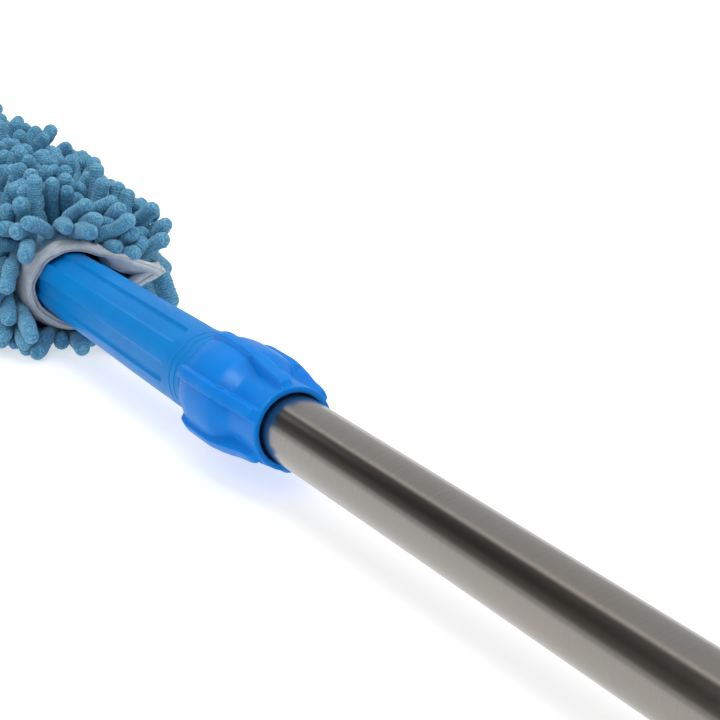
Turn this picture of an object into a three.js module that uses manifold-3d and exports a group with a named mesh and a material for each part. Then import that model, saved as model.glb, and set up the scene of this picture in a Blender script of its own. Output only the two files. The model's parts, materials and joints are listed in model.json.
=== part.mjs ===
// A microfibre chenille duster: a washable chenille sleeve over a padded, bendable paddle, on a fluted
// plastic neck that a ribbed nut clamps on a round stainless-steel pole. Millimetres, +Z up.
//
// Every piece is drawn about the pole's own axis, which is local X: x is 0 at the clamp nut's mouth, the
// head lies towards -X and the grip towards +X. The whole duster then leans by LEAN, so that the flattened
// underside of its head and the end of its grip both lie on the plane z = 0.

import * as THREE from "three";
import { mergeVertices } from "three/addons/utils/BufferGeometryUtils.js";
import Module from "manifold-3d";

const wasm = await Module();
wasm.setup();

// ---------- driving dimensions ----------

const GAP = 0.3; // between two pieces that touch on the real object
const SEGMENTS = 36; // facets round the turned pieces
const SOFT_SEGMENTS = 24; // facets round the soft pieces
const SMALL_SEGMENTS = 16; // facets round screws, rivets and their holes

const TUBE_R = 12.5;
const TUBE_WALL = 0.8;
const TUBE_FRONT = -150; // inside the neck
const TUBE_REAR = 682;

const NUT_END = -61.5;
const NUT_MOUTH = -3.3;
const NUT_DRUM_R = 20; // the round shoulder over the thread
const NUT_LIP_R = 15.4;
const NUT_MOUTH_R = 13;
const NUT_RIBS = 6;
const NUT_RIB_R = 21.8;
const NUT_RIB_WIDTH = 4.6;
const NUT_RIB_ANGLE = 34; // degrees from +Y to the first rib

const NECK_REAR = -27.2;
const NECK_SHOULDER = -62.5; // where the thread ends and the fluted grip of the neck begins
const NECK_FRONT = -232;
const NECK_BORE_R = 13;
const THREAD_R = 14.6; // crest of the neck's thread
const NECK_R = 16; // at the shoulder
const NECK_FRONT_R = 14.8;

const FLUTES = 6;
const FLUTE_ANGLE = 57; // degrees from +Y to the middle of the first flute
const FLUTE_REAR = -78;
const FLUTE_FRONT = -186;
const FLUTE_WIDTH = 9.6;
const FLUTE_DEPTH = 0.85;

const RING_REAR = -15.3; // the split clamp ring, between the nut's taper and the neck's end
const RING_FRONT = -26.8;
const RING_FRONT_R = 13.9;
const RING_REAR_R = 13.3;
const RING_BORE_R = 12.65;

const HUB_REAR = -206; // end of the hub's plug, inside the neck
const HUB_FRONT = -264;
const SCREW_X = -219;

const BLADE_HALF_WIDTH = 22;
const BLADE_THICKNESS = 5;
const BLADE_REAR = -240;
const BLADE_FRONT = -506;
const STRIP_WIDTH = 10;
const STRIP_THICKNESS = 1;

const CORE_HALF_WIDTH = 24; // over the two foam pads
const CORE_HALF_HEIGHT = 11;

const SLEEVE_SHIFT_Y = 8; // the loose sleeve hangs to one side of the paddle
const SLEEVE_MOUTH = -199;
const SLEEVE_TIP = -528;
const SLEEVE_HALF_WIDTH = 35;
const SLEEVE_HALF_HEIGHT = 15;
const MOUTH_HALF_HEIGHT = 17.8;
const CLOTH = 1.2; // thickness of the backing
const TAPE_DEPTH = 10; // how far the binding tape reaches along the sleeve
const MOUTH_SKEW = 0.3; // how far the mouth leans, in mm along X for each mm along Y

const PILE_HALF_WIDTH = 58;
const PILE_HALF_HEIGHT = 43;
const PILE_TIP = -546;

const GRIP_R = 17;
const GRIP_FRONT = 548;
const GRIP_REAR = 680;
const EYE_R = 13;
const EYE_HOLE_R = 5;
const EYE_THICKNESS = 9;

const HEAD_CENTRE = -370;
const HEAD_AXIS_HEIGHT = 30; // of the pole's axis above the floor, at the middle of the head
const LEAN = Math.asin((HEAD_AXIS_HEIGHT - GRIP_R) / (GRIP_REAR - HEAD_CENTRE));
const AXIS_HEIGHT = GRIP_REAR * Math.sin(LEAN) + GRIP_R * Math.cos(LEAN); // at x = 0

// ---------- geometry helpers ----------

// A solid of revolution about X from a closed outline of [x, radius] points, listed towards +X on the outside.
function turned(outline, segments = SEGMENTS) {
  const points = outline.map(([x, r]) => new THREE.Vector2(r, x));
  const first = outline[0];
  const last = outline[outline.length - 1];
  const onAxis = first[1] === 0 && last[1] === 0;
  if (!onAxis) points.push(points[0].clone());
  return new THREE.LatheGeometry(points, segments).rotateZ(-Math.PI / 2);
}

// A plain ring about X.
function ring(x0, x1, innerR, outerR) {
  return turned([[x0, innerR], [x0, outerR], [x1, outerR], [x1, innerR]]);
}

// A plain small rod about X.
function rod(x0, x1, radius) {
  return turned([[x0, 0], [x0, radius], [x1, radius], [x1, 0]], SMALL_SEGMENTS);
}

function block(x0, x1, y0, y1, z0, z1) {
  const box = new THREE.BoxGeometry(x1 - x0, y1 - y0, z1 - z0);
  return box.translate((x0 + x1) / 2, (y0 + y1) / 2, (z0 + z1) / 2);
}

function solid(geometry) {
  const bare = geometry.clone();
  bare.deleteAttribute("normal");
  bare.deleteAttribute("uv");
  const merged = mergeVertices(bare, 1e-4);
  return new wasm.Manifold(new wasm.Mesh({
    numProp: 3,
    vertProperties: new Float32Array(merged.attributes.position.array),
    triVerts: new Uint32Array(merged.index.array),
  }));
}

function geometryOf(manifold) {
  const mesh = manifold.getMesh();
  const geometry = new THREE.BufferGeometry();
  geometry.setAttribute("position", new THREE.BufferAttribute(mesh.vertProperties, 3));
  geometry.setIndex(new THREE.BufferAttribute(mesh.triVerts, 1));
  geometry.computeVertexNormals();
  return geometry;
}

function cut(geometry, ...tools) {
  return geometryOf(tools.reduce((left, tool) => left.subtract(solid(tool)), solid(geometry)));
}

function join(geometry, ...others) {
  return geometryOf(others.reduce((sum, other) => sum.add(solid(other)), solid(geometry)));
}

function common(geometry, other) {
  return geometryOf(solid(geometry).intersect(solid(other)));
}

// Places a copy of a tool at each of a number of equal angles about X.
function around(count, firstDegrees, make) {
  const angles = Array.from({ length: count }, (_, k) => firstDegrees + (k * 360) / count);
  return angles.map((angle) => make().rotateX(THREE.MathUtils.degToRad(angle)));
}

// An outline in the XY plane, made solid from z = low to z = high.
function plate(shape, low, high, curveSegments = 10) {
  const geometry = new THREE.ExtrudeGeometry(shape, { depth: high - low, bevelEnabled: false, curveSegments });
  return geometry.translate(0, 0, low);
}

function roundedRectangle(x0, x1, halfWidth, radius) {
  const shape = new THREE.Shape();
  shape.moveTo(x0 + radius, -halfWidth);
  shape.lineTo(x1 - radius, -halfWidth);
  shape.absarc(x1 - radius, radius - halfWidth, radius, -Math.PI / 2, 0);
  shape.absarc(x1 - radius, halfWidth - radius, radius, 0, Math.PI / 2);
  shape.absarc(x0 + radius, halfWidth - radius, radius, Math.PI / 2, Math.PI);
  shape.absarc(x0 + radius, radius - halfWidth, radius, Math.PI, Math.PI * 1.5);
  return shape;
}

// A smooth closed body along X. Each section is [x, half width, half height], with x rising from the first
// section to the last, and each is a rounded oval about y = centreY.
function oval(sections, centreY, squareness = 2.4) {
  const last = sections.length - 1;
  const points = sections.map((_, k) => new THREE.Vector2(1, k));
  points.unshift(new THREE.Vector2(0, 0));
  points.push(new THREE.Vector2(0, last));
  const geometry = new THREE.LatheGeometry(points, SOFT_SEGMENTS).rotateZ(-Math.PI / 2);
  const place = geometry.attributes.position;
  for (let i = 0; i < place.count; i += 1) {
    const [x, halfWidth, halfHeight] = sections[Math.round(place.getX(i))];
    const y = place.getY(i);
    const z = place.getZ(i);
    const reach = Math.hypot(y, z);
    const stretch = (Math.abs(y) ** squareness + Math.abs(z) ** squareness) ** (1 / squareness);
    const scale = reach > 0.5 ? reach / stretch : 0;
    place.setXYZ(i, x, centreY + y * scale * halfWidth, z * scale * halfHeight);
  }
  return geometry;
}

// Sections of a rounded end: a quarter ellipse from the tip at x = tip to the full size at x = shoulder.
function roundedTip(tip, shoulder, halfWidth, halfHeight, steps = 6) {
  return Array.from({ length: steps }, (_, k) => {
    const angle = (Math.PI / 2) * ((k + 0.35) / steps);
    const x = tip + (shoulder - tip) * (1 - Math.cos(angle));
    return [x, halfWidth * Math.sin(angle), halfHeight * Math.sin(angle)];
  });
}

// Leans the sleeve's mouth, which is further back on its +Y side, and fades the lean out inside the head.
function skewed(geometry) {
  const fadeStart = SLEEVE_MOUTH - 2 * TAPE_DEPTH;
  const fadeEnd = SLEEVE_MOUTH - 7 * TAPE_DEPTH;
  const place = geometry.attributes.position;
  for (let i = 0; i < place.count; i += 1) {
    const x = place.getX(i);
    const share = 1 - THREE.MathUtils.smoothstep(-x, -fadeStart, -fadeEnd);
    place.setX(i, x + share * MOUTH_SKEW * (place.getY(i) - SLEEVE_SHIFT_Y));
  }
  geometry.computeVertexNormals();
  return geometry;
}

// ---------- pole ----------

function steelTube() {
  return ring(TUBE_FRONT, TUBE_REAR, TUBE_R - TUBE_WALL, TUBE_R);
}

// Closes the tube's front end and guides it in the neck; its flange is wider than the clamp ring's bore.
function nosePlug() {
  const spigotR = TUBE_R - TUBE_WALL - GAP;
  const flangeR = RING_BORE_R + 0.15;
  const flangeFront = TUBE_FRONT - 4;
  return turned([
    [flangeFront, 0],
    [flangeFront, flangeR - 1],
    [flangeFront + 1, flangeR],
    [TUBE_FRONT - GAP, flangeR],
    [TUBE_FRONT - GAP, spigotR],
    [TUBE_FRONT + 17, spigotR],
    [TUBE_FRONT + 18, spigotR - 1],
    [TUBE_FRONT + 18, 0],
  ]);
}

function gripCollar() {
  const boreR = TUBE_R + GAP;
  return turned([
    [GRIP_FRONT - 14, boreR],
    [GRIP_FRONT - 14, boreR + 1],
    [GRIP_FRONT - 10, GRIP_R - 1.6],
    [GRIP_FRONT - GAP, GRIP_R - 0.6],
    [GRIP_FRONT - GAP, boreR],
  ]);
}

// A soft rubber sleeve over the tube's rear end.
function rearGrip() {
  const boreR = TUBE_R + GAP;
  return turned([
    [GRIP_FRONT, boreR],
    [GRIP_FRONT, GRIP_R - 1],
    [GRIP_FRONT + 1, GRIP_R],
    [GRIP_REAR, GRIP_R],
    [GRIP_REAR, boreR],
  ]);
}

// The end cap: a plug pressed into the tube, a flange that covers the grip's end, and a flat hanging eye.
function hangCap() {
  const flangeFront = TUBE_REAR + GAP;
  const flangeRear = flangeFront + 5;
  const plugR = TUBE_R - TUBE_WALL - GAP;
  const eyeCentre = flangeRear + 17;
  const body = turned([
    [TUBE_REAR - 28, 0],
    [TUBE_REAR - 28, plugR - 1],
    [TUBE_REAR - 26, plugR],
    [flangeFront, plugR],
    [flangeFront, GRIP_R - 1],
    [flangeRear - 2, GRIP_R - 1],
    [flangeRear, GRIP_R - 3],
    [flangeRear, 0],
  ]);
  const tab = new THREE.Shape();
  tab.moveTo(flangeRear - 2, -EYE_R);
  tab.absarc(eyeCentre, 0, EYE_R, -Math.PI / 2, Math.PI / 2);
  tab.lineTo(flangeRear - 2, EYE_R);
  const hole = new THREE.Path();
  hole.absarc(eyeCentre, 0, EYE_HOLE_R, 0, Math.PI * 2, true);
  tab.holes.push(hole);
  const eye = plate(tab, -EYE_THICKNESS / 2, EYE_THICKNESS / 2, 12);
  return join(body, eye.rotateX(Math.PI / 2));
}

// ---------- clamp ----------

// The ribbed nut: a wide drum over the thread, then a narrow barrel whose inner taper squeezes the clamp ring.
function clampNut() {
  const threadR = THREAD_R + GAP;
  const barrelR = NUT_LIP_R - 0.3;
  const body = turned([
    [NUT_END, threadR],
    [NUT_END, 16.5],
    [-58, 18],
    [-54, 19.3],
    [-48, NUT_DRUM_R],
    [-36, NUT_DRUM_R - 0.1],
    [-31, NUT_DRUM_R - 0.9],
    [-27, 17.2],
    [-23.5, 15.6],
    [-20, barrelR],
    [NUT_MOUTH - 4, barrelR],
    [NUT_MOUTH - 3, NUT_LIP_R],
    [NUT_MOUTH - 0.8, NUT_LIP_R],
    [NUT_MOUTH, NUT_LIP_R - 0.8],
    [NUT_MOUTH, NUT_MOUTH_R],
    [RING_REAR + GAP, NUT_MOUTH_R],
    [RING_REAR + GAP, RING_REAR_R + GAP],
    [RING_FRONT, RING_FRONT_R + GAP],
    [RING_FRONT, threadR],
  ]);
  return join(body, ...around(NUT_RIBS, NUT_RIB_ANGLE, nutRib));
}

// One rib: straight over the drum, then curving down to end just short of the lip.
function nutRib() {
  const drumRoot = THREAD_R + GAP + 0.6;
  const barrelRoot = NUT_MOUTH_R + 1.4;
  const outline = new THREE.Shape();
  outline.moveTo(NUT_END + 2.7, drumRoot);
  outline.lineTo(NUT_END + 2.7, NUT_RIB_R - 2);
  outline.lineTo(NUT_END + 5, NUT_RIB_R - 0.7);
  outline.lineTo(-50, NUT_RIB_R);
  outline.lineTo(-36, NUT_RIB_R);
  outline.bezierCurveTo(-29.5, NUT_RIB_R, -22, 20, -15, 18.8);
  outline.lineTo(NUT_MOUTH - 5.2, 18);
  outline.lineTo(NUT_MOUTH - 2.4, 17);
  outline.lineTo(NUT_MOUTH - 1.9, barrelRoot);
  outline.lineTo(-25.5, barrelRoot);
  outline.lineTo(-27.5, drumRoot);
  return plate(outline, -NUT_RIB_WIDTH / 2, NUT_RIB_WIDTH / 2, 6);
}

// The split ring that grips the tube when the nut drives it up its taper.
function clampRing() {
  const whole = turned([
    [RING_FRONT, RING_BORE_R],
    [RING_FRONT, RING_FRONT_R],
    [RING_REAR, RING_REAR_R],
    [RING_REAR, RING_BORE_R],
  ]);
  return cut(whole, block(RING_FRONT - 1, RING_REAR + 1, -1.2, 1.2, 0, NUT_RIB_R));
}

// ---------- neck ----------

function neckTube() {
  const groove = (x) => [[x - 0.6, NECK_R], [x - 0.6, NECK_R - 0.6], [x + 0.6, NECK_R - 0.6], [x + 0.6, NECK_R]];
  const body = turned([
    [NECK_FRONT, NECK_BORE_R],
    [NECK_FRONT, NECK_FRONT_R - 0.8],
    [NECK_FRONT + 1, NECK_FRONT_R],
    [-165, 15.2],
    [-80, NECK_R],
    ...groove(-71.2),
    ...groove(-67),
    [NECK_SHOULDER, NECK_R],
    [NECK_SHOULDER, THREAD_R],
    [NECK_REAR - 1, THREAD_R],
    [NECK_REAR, THREAD_R - 1],
    [NECK_REAR, NECK_BORE_R],
  ]);
  const screwHole = () => rod(0, NECK_R + 2, 1.8).rotateZ(Math.PI / 2).translate(SCREW_X, 0, 0);
  const tools = [...around(FLUTES, FLUTE_ANGLE, fluteTool), ...around(2, 0, screwHole)];
  return cut(body, ...tools);
}

// A flat-bottomed pocket with rounded ends that follows the neck's taper.
function fluteTool() {
  const taper = Math.atan2(NECK_R - 15.1, FLUTE_REAR - FLUTE_FRONT);
  const pocket = plate(roundedRectangle(FLUTE_FRONT, FLUTE_REAR, FLUTE_WIDTH / 2, 4), 0, 4, 4);
  pocket.translate(-FLUTE_REAR, 0, 0).rotateY(-taper);
  return pocket.translate(FLUTE_REAR, 0, NECK_R - FLUTE_DEPTH).rotateX(-Math.PI / 2);
}

// A pan-head screw along +Y, from the neck's surface into the hub.
function hubScrew() {
  const headR = 2.8;
  const screw = turned([
    [4, 0],
    [5, 1.4],
    [NECK_R - 0.6, 1.4],
    [NECK_R - 0.6, headR],
    [NECK_R + 0.6, headR],
    [NECK_R + 1, headR - 0.8],
    [NECK_R + 1, 0],
  ], SMALL_SEGMENTS);
  return screw.rotateZ(Math.PI / 2).translate(SCREW_X, 0, 0);
}

// ---------- paddle ----------

// The hub: a round plug in the neck, a flange against its end, and a flat fork that holds the blade.
function coreHub() {
  const plugR = NECK_BORE_R - GAP;
  const plug = turned([
    [NECK_FRONT - 4, 0],
    [NECK_FRONT - 4, NECK_FRONT_R - 0.4],
    [NECK_FRONT - GAP, NECK_FRONT_R - 0.4],
    [NECK_FRONT - GAP, plugR],
    [HUB_REAR - 1, plugR],
    [HUB_REAR, plugR - 1],
    [HUB_REAR, 0],
  ]);
  const fork = oval([
    [HUB_FRONT, 19, 6.5],
    [HUB_FRONT + 12, 18, 8.5],
    [NECK_FRONT - 3, 14, 12],
  ], 0, 3);
  const slot = block(HUB_FRONT - 1, BLADE_REAR + GAP, -30, 30, -slotHalf(), slotHalf());
  const screwHoles = around(2, 0, () => rod(3, NECK_R, 1.7).rotateZ(Math.PI / 2).translate(SCREW_X, 0, 0));
  const rivetHoles = [1, -1].map((side) => rivetShank(side, 1.9, 20));
  return cut(join(plug, fork), slot, ...screwHoles, ...rivetHoles);
}

function slotHalf() {
  return BLADE_THICKNESS / 2 + GAP;
}

function rivetShank(side, radius, halfLength) {
  const shank = rod(-halfLength, halfLength, radius).rotateY(Math.PI / 2);
  return shank.translate(HUB_FRONT + 13, 8 * side, 0);
}

// Two rivets hold the blade in the hub's fork.
function bladeRivet(side) {
  const seat = 9.2;
  const shankR = 1.6;
  const headR = 3.4;
  const rivet = turned([
    [-seat - 0.8, 0],
    [-seat - 0.8, headR - 0.8],
    [-seat, headR],
    [-seat, shankR],
    [seat, shankR],
    [seat, headR],
    [seat + 0.8, headR - 0.8],
    [seat + 0.8, 0],
  ], SMALL_SEGMENTS);
  return rivet.rotateY(Math.PI / 2).translate(HUB_FRONT + 13, 8 * side, 0);
}

// The flexible blade, with a channel along its top for the bendable steel strip.
function coreBlade() {
  const outline = roundedRectangle(BLADE_FRONT, HUB_FRONT - 2, BLADE_HALF_WIDTH, 16);
  const paddle = plate(outline, -BLADE_THICKNESS / 2, BLADE_THICKNESS / 2, 8);
  const tongue = block(HUB_FRONT - 6, BLADE_REAR, -13, 13, -BLADE_THICKNESS / 2, BLADE_THICKNESS / 2);
  const channelFloor = BLADE_THICKNESS / 2 - STRIP_THICKNESS - GAP;
  const channel = block(
    BLADE_FRONT + 14, HUB_FRONT - 6, -STRIP_WIDTH / 2 - GAP, STRIP_WIDTH / 2 + GAP, channelFloor, 10);
  const rivetHoles = [1, -1].map((side) => rivetShank(side, 1.9, 10));
  return cut(join(paddle, tongue), channel, ...rivetHoles);
}

function coreStrip() {
  const top = BLADE_THICKNESS / 2;
  const outline = roundedRectangle(BLADE_FRONT + 15, HUB_FRONT - 7, STRIP_WIDTH / 2, 2);
  return plate(outline, top - STRIP_THICKNESS, top, 3);
}

// One crowned foam pad, on the blade's upper (side 1) or lower (side -1) face.
function foamPad(side) {
  const start = HUB_FRONT - 4;
  const lens = oval([
    ...roundedTip(BLADE_FRONT - 6, BLADE_FRONT + 22, CORE_HALF_WIDTH, CORE_HALF_HEIGHT),
    [BLADE_FRONT + 60, CORE_HALF_WIDTH, CORE_HALF_HEIGHT],
    [start - 30, CORE_HALF_WIDTH, CORE_HALF_HEIGHT],
    [start - 8, CORE_HALF_WIDTH - 1, CORE_HALF_HEIGHT - 1],
    [start, CORE_HALF_WIDTH - 4, CORE_HALF_HEIGHT - 3],
  ], 0, 2.2);
  const face = BLADE_THICKNESS / 2 + GAP;
  const keep = side > 0 ? [face, 40] : [-40, -face];
  return common(lens, block(BLADE_FRONT - 20, start + 10, -40, 40, ...keep));
}

// ---------- sleeve ----------

// The backing's outer surface grown by a clearance; a negative one gives its inner surface.
function bagShape(clearance, mouth) {
  const width = SLEEVE_HALF_WIDTH + clearance;
  const height = SLEEVE_HALF_HEIGHT + clearance;
  return [
    ...roundedTip(SLEEVE_TIP - clearance, SLEEVE_TIP + 34, width, height),
    [SLEEVE_TIP + 80, width, height],
    [-275, width, height],
    [-240, width, MOUTH_HALF_HEIGHT - 0.2 + clearance],
    [-220, width, MOUTH_HALF_HEIGHT + clearance],
    [mouth, width, MOUTH_HALF_HEIGHT + clearance],
  ];
}

function bag(clearance, mouth) {
  return oval(bagShape(clearance, mouth), SLEEVE_SHIFT_Y);
}

function sleeveBacking() {
  const edge = SLEEVE_MOUTH - 4;
  return cut(skewed(bag(0, edge)), skewed(bag(-CLOTH, edge + 20)));
}

// A closed band that follows the mouth's oval between two clearances from the backing's outer surface.
function mouthBand(front, rear, inner, outer) {
  const size = (clearance, x) => [x, SLEEVE_HALF_WIDTH + clearance, MOUTH_HALF_HEIGHT + clearance];
  const full = oval([size(outer, front), size(outer, rear)], SLEEVE_SHIFT_Y);
  const hollow = oval([size(inner, front - 5), size(inner, rear + 5)], SLEEVE_SHIFT_Y);
  return cut(skewed(full), skewed(hollow));
}

// The tape is folded over the sleeve's edge, so its section is a U that is open towards the head.
function mouthBinding() {
  const wrap = mouthBand(SLEEVE_MOUTH - TAPE_DEPTH, SLEEVE_MOUTH, -CLOTH - 0.9, 1.3);
  const inside = mouthBand(SLEEVE_MOUTH - TAPE_DEPTH - 5, SLEEVE_MOUTH - 1, -CLOTH - GAP, GAP);
  return cut(wrap, inside);
}

function mouthElastic() {
  return mouthBand(SLEEVE_MOUTH - 3.6, SLEEVE_MOUTH - 1.3, -CLOTH, 0);
}

// The outer surface of the chenille, in the size that its noodles fill.
function pileEnvelope() {
  return oval([
    ...roundedTip(PILE_TIP, PILE_TIP + 60, PILE_HALF_WIDTH, PILE_HALF_HEIGHT, 8),
    [-420, PILE_HALF_WIDTH, PILE_HALF_HEIGHT],
    [-330, PILE_HALF_WIDTH, PILE_HALF_HEIGHT],
    [-245, PILE_HALF_WIDTH, PILE_HALF_HEIGHT],
    [-228, PILE_HALF_WIDTH - 2, PILE_HALF_HEIGHT - 2],
    [-217, PILE_HALF_WIDTH - 6, PILE_HALF_HEIGHT - 6],
    [SLEEVE_MOUTH - TAPE_DEPTH - GAP, PILE_HALF_WIDTH - 13, PILE_HALF_HEIGHT - 14],
  ], SLEEVE_SHIFT_Y, 2.1);
}

// The chenille on the upper (side 1) or lower (side -1) panel of the sleeve. The lower one lies flat on the floor.
function chenille(side) {
  const whole = cut(skewed(pileEnvelope()), skewed(bag(GAP, SLEEVE_MOUTH + 60)));
  const keep = side > 0 ? [GAP, 90] : [-90, -GAP];
  const half = common(whole, block(PILE_TIP - 20, -100, -120, 120, ...keep));
  return side > 0 ? half : cut(half, floorTool());
}

// Everything below the floor, seen from the pole's own leaning frame.
function floorTool() {
  const deep = block(-700, 0, -150, 150, -100, 0);
  return deep.translate(0, 0, -AXIS_HEIGHT).rotateY(-LEAN);
}

// ---------- scene graph ----------

const blue = { color: 0x0a7ad6, roughness: 0.42, metalness: 0 };
const nutBlue = { color: 0x1583ea, roughness: 0.4, metalness: 0 };
const steel = { color: 0xb8b4ad, roughness: 0.3, metalness: 1 };
const zinc = { color: 0xc4c6c8, roughness: 0.35, metalness: 1 };
const white = { color: 0xe8e8e4, roughness: 0.6, metalness: 0 };
const foam = { color: 0xd9d6cc, roughness: 0.95, metalness: 0 };
const rubber = { color: 0x24282c, roughness: 0.85, metalness: 0 };
const cloth = { color: 0xc3c5cb, roughness: 0.9, metalness: 0 };
const noodles = { color: 0x6fa6cc, roughness: 0.95, metalness: 0 };

const pieces = [
  ["steel_tube", steelTube(), steel],
  ["nose_plug", nosePlug(), white],
  ["grip_collar", gripCollar(), blue],
  ["rear_grip", rearGrip(), rubber],
  ["hang_cap", hangCap(), blue],
  ["clamp_nut", clampNut(), nutBlue],
  ["clamp_ring", clampRing(), white],
  ["neck_tube", neckTube(), blue],
  ["hub_screw_1", hubScrew(), zinc],
  ["hub_screw_2", hubScrew().rotateX(Math.PI), zinc],
  ["core_hub", coreHub(), white],
  ["blade_rivet_1", bladeRivet(1), zinc],
  ["blade_rivet_2", bladeRivet(-1), zinc],
  ["core_blade", coreBlade(), white],
  ["core_strip", coreStrip(), zinc],
  ["foam_pad_top", foamPad(1), foam],
  ["foam_pad_bottom", foamPad(-1), foam],
  ["sleeve_backing", sleeveBacking(), cloth],
  ["mouth_binding", mouthBinding(), cloth],
  ["mouth_elastic", mouthElastic(), white],
  ["chenille_top", chenille(1), noodles],
  ["chenille_bottom", chenille(-1), noodles],
];

const pole = new THREE.Group();
for (const [name, geometry, look] of pieces) {
  const mesh = new THREE.Mesh(geometry, new THREE.MeshStandardMaterial(look));
  mesh.name = name;
  pole.add(mesh);
}
pole.rotation.y = LEAN;
pole.position.z = AXIS_HEIGHT;

// The origin is under the middle of the duster, on the floor.
const duster = new THREE.Group();
duster.add(pole);
duster.updateMatrixWorld(true);
const middle = new THREE.Box3().setFromObject(duster, true).getCenter(new THREE.Vector3());
pole.position.x = -middle.x;
pole.position.y = -middle.y;

export default duster;
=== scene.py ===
"""The looks of a microfibre chenille duster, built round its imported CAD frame.

Pieces are drawn in the pole's own frame, in millimetres: x runs along the pole's axis from the clamp nut's
mouth towards the grip, so that the chenille head is at negative x, and z points up. place() turns them into
metres in the row frame.
"""

import json
import math

import bpy
import numpy as np
from mathutils import Matrix, Vector, kdtree


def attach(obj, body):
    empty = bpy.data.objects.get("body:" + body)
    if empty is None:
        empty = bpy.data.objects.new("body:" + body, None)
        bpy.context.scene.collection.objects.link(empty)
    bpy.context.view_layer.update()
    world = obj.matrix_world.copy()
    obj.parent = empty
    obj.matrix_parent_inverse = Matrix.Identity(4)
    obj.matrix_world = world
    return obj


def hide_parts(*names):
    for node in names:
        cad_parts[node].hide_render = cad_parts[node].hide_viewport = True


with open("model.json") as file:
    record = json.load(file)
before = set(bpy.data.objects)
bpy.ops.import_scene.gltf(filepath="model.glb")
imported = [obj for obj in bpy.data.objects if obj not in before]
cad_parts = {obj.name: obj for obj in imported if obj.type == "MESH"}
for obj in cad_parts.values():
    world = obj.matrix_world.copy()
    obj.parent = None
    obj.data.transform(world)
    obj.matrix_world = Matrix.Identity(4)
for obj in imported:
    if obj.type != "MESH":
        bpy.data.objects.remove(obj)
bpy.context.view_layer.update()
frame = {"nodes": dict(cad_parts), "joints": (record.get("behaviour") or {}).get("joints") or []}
MM = 0.001

# ---------- the pole's frame, and the sizes taken from the CAD nodes ----------


def pole_frame():
    joint = next(j for j in frame["joints"] if j["name"] == "nut_turn")
    along = Vector(joint["axis"]).normalized()
    side = Vector((0, 1, 0))
    turn = Matrix((along, side, along.cross(side))).transposed()
    return Matrix.Translation(joint["pos_m"]) @ turn.to_4x4()


POLE = pole_frame()


def node_points(node):
    """A CAD node's vertices in the pole's frame, in millimetres."""
    mesh = frame["nodes"][node].data
    flat = np.zeros(len(mesh.vertices) * 3)
    mesh.vertices.foreach_get("co", flat)
    inverse = np.array(POLE.inverted())
    return (flat.reshape(-1, 3) @ inverse[:3, :3].T + inverse[:3, 3]) / MM


def span(node):
    points = node_points(node)
    return points.min(0), points.max(0)


def radius_of(node, inner=False, rear_of=-math.inf):
    """The largest or smallest distance of a node's corners from the pole's axis."""
    points = node_points(node)
    reach = np.hypot(*points[points[:, 0] > rear_of, 1:].T)
    return float(reach.min() if inner else reach.max())


TUBE_R = radius_of("steel_tube")
TUBE_BORE_R = radius_of("steel_tube", inner=True)
TUBE_FRONT, TUBE_REAR = (float(corner[0]) for corner in span("steel_tube"))
NUT_END, NUT_MOUTH = (float(corner[0]) for corner in span("clamp_nut"))
NUT_RIB_R = radius_of("clamp_nut")
NUT_BORE_R = radius_of("clamp_nut", inner=True)
NECK_FRONT, NECK_REAR = (float(corner[0]) for corner in span("neck_tube"))
NECK_R = radius_of("neck_tube")
NECK_BORE_R = radius_of("neck_tube", inner=True)
SLEEVE_LOW, SLEEVE_HIGH = span("sleeve_backing")
SLEEVE_Y = float(SLEEVE_LOW[1] + SLEEVE_HIGH[1]) / 2
SLEEVE_HALF_WIDTH = float(SLEEVE_HIGH[1] - SLEEVE_LOW[1]) / 2


def floor_z(x):
    """The height of the floor, in the pole's frame."""
    return -(POLE[2][3] / MM + np.asarray(x) * POLE[2][0]) / POLE[2][2]


# ---------- mesh helpers ----------


def place(points):
    matrix = np.array(POLE)
    return points * MM @ matrix[:3, :3].T + matrix[:3, 3]


def linked(name, data):
    """A new object of the scene that shows data."""
    made = bpy.data.objects.new(name, data)
    bpy.context.scene.collection.objects.link(made)
    return made


def mesh_object(name, points, face_groups, uv=None):
    """A smooth mesh from points in the pole's frame and arrays of faces, an array for each corner count."""
    groups = [np.asarray(group, dtype=np.int64) for group in face_groups if len(group)]
    corners = np.concatenate([group.ravel() for group in groups])
    sizes = np.concatenate([np.full(len(group), group.shape[1]) for group in groups])
    starts = np.concatenate(([0], np.cumsum(sizes)[:-1]))
    mesh = bpy.data.meshes.new(name)
    mesh.vertices.add(len(points))
    mesh.vertices.foreach_set("co", place(points).ravel())
    mesh.loops.add(len(corners))
    mesh.loops.foreach_set("vertex_index", corners)
    mesh.polygons.add(len(sizes))
    mesh.polygons.foreach_set("loop_start", starts)
    if uv is not None:
        layer = mesh.uv_layers.new(name="Weave")
        layer.data.foreach_set("uv", uv[corners].ravel())
    mesh.update(calc_edges=True)
    mesh.shade_smooth()
    return linked(name, mesh)


def finished(piece, body, slot, material, *replaced):
    piece.data.materials.clear()
    piece.data.materials.append(material)
    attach(piece, body)
    if replaced:
        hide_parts(*replaced)
    return piece


def grid_faces(rows, columns, closed_rows=False):
    """Quads of a grid that closes round its columns, and round its rows too where asked."""
    row = np.arange(rows if closed_rows else rows - 1)[:, None]
    column = np.arange(columns)[None, :]
    after = (column + 1) % columns
    below = (row + 1) % rows
    quads = np.stack([row * columns + column, row * columns + after,
                      below * columns + after, below * columns + column], axis=-1)
    return quads.reshape(-1, 4)


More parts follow.
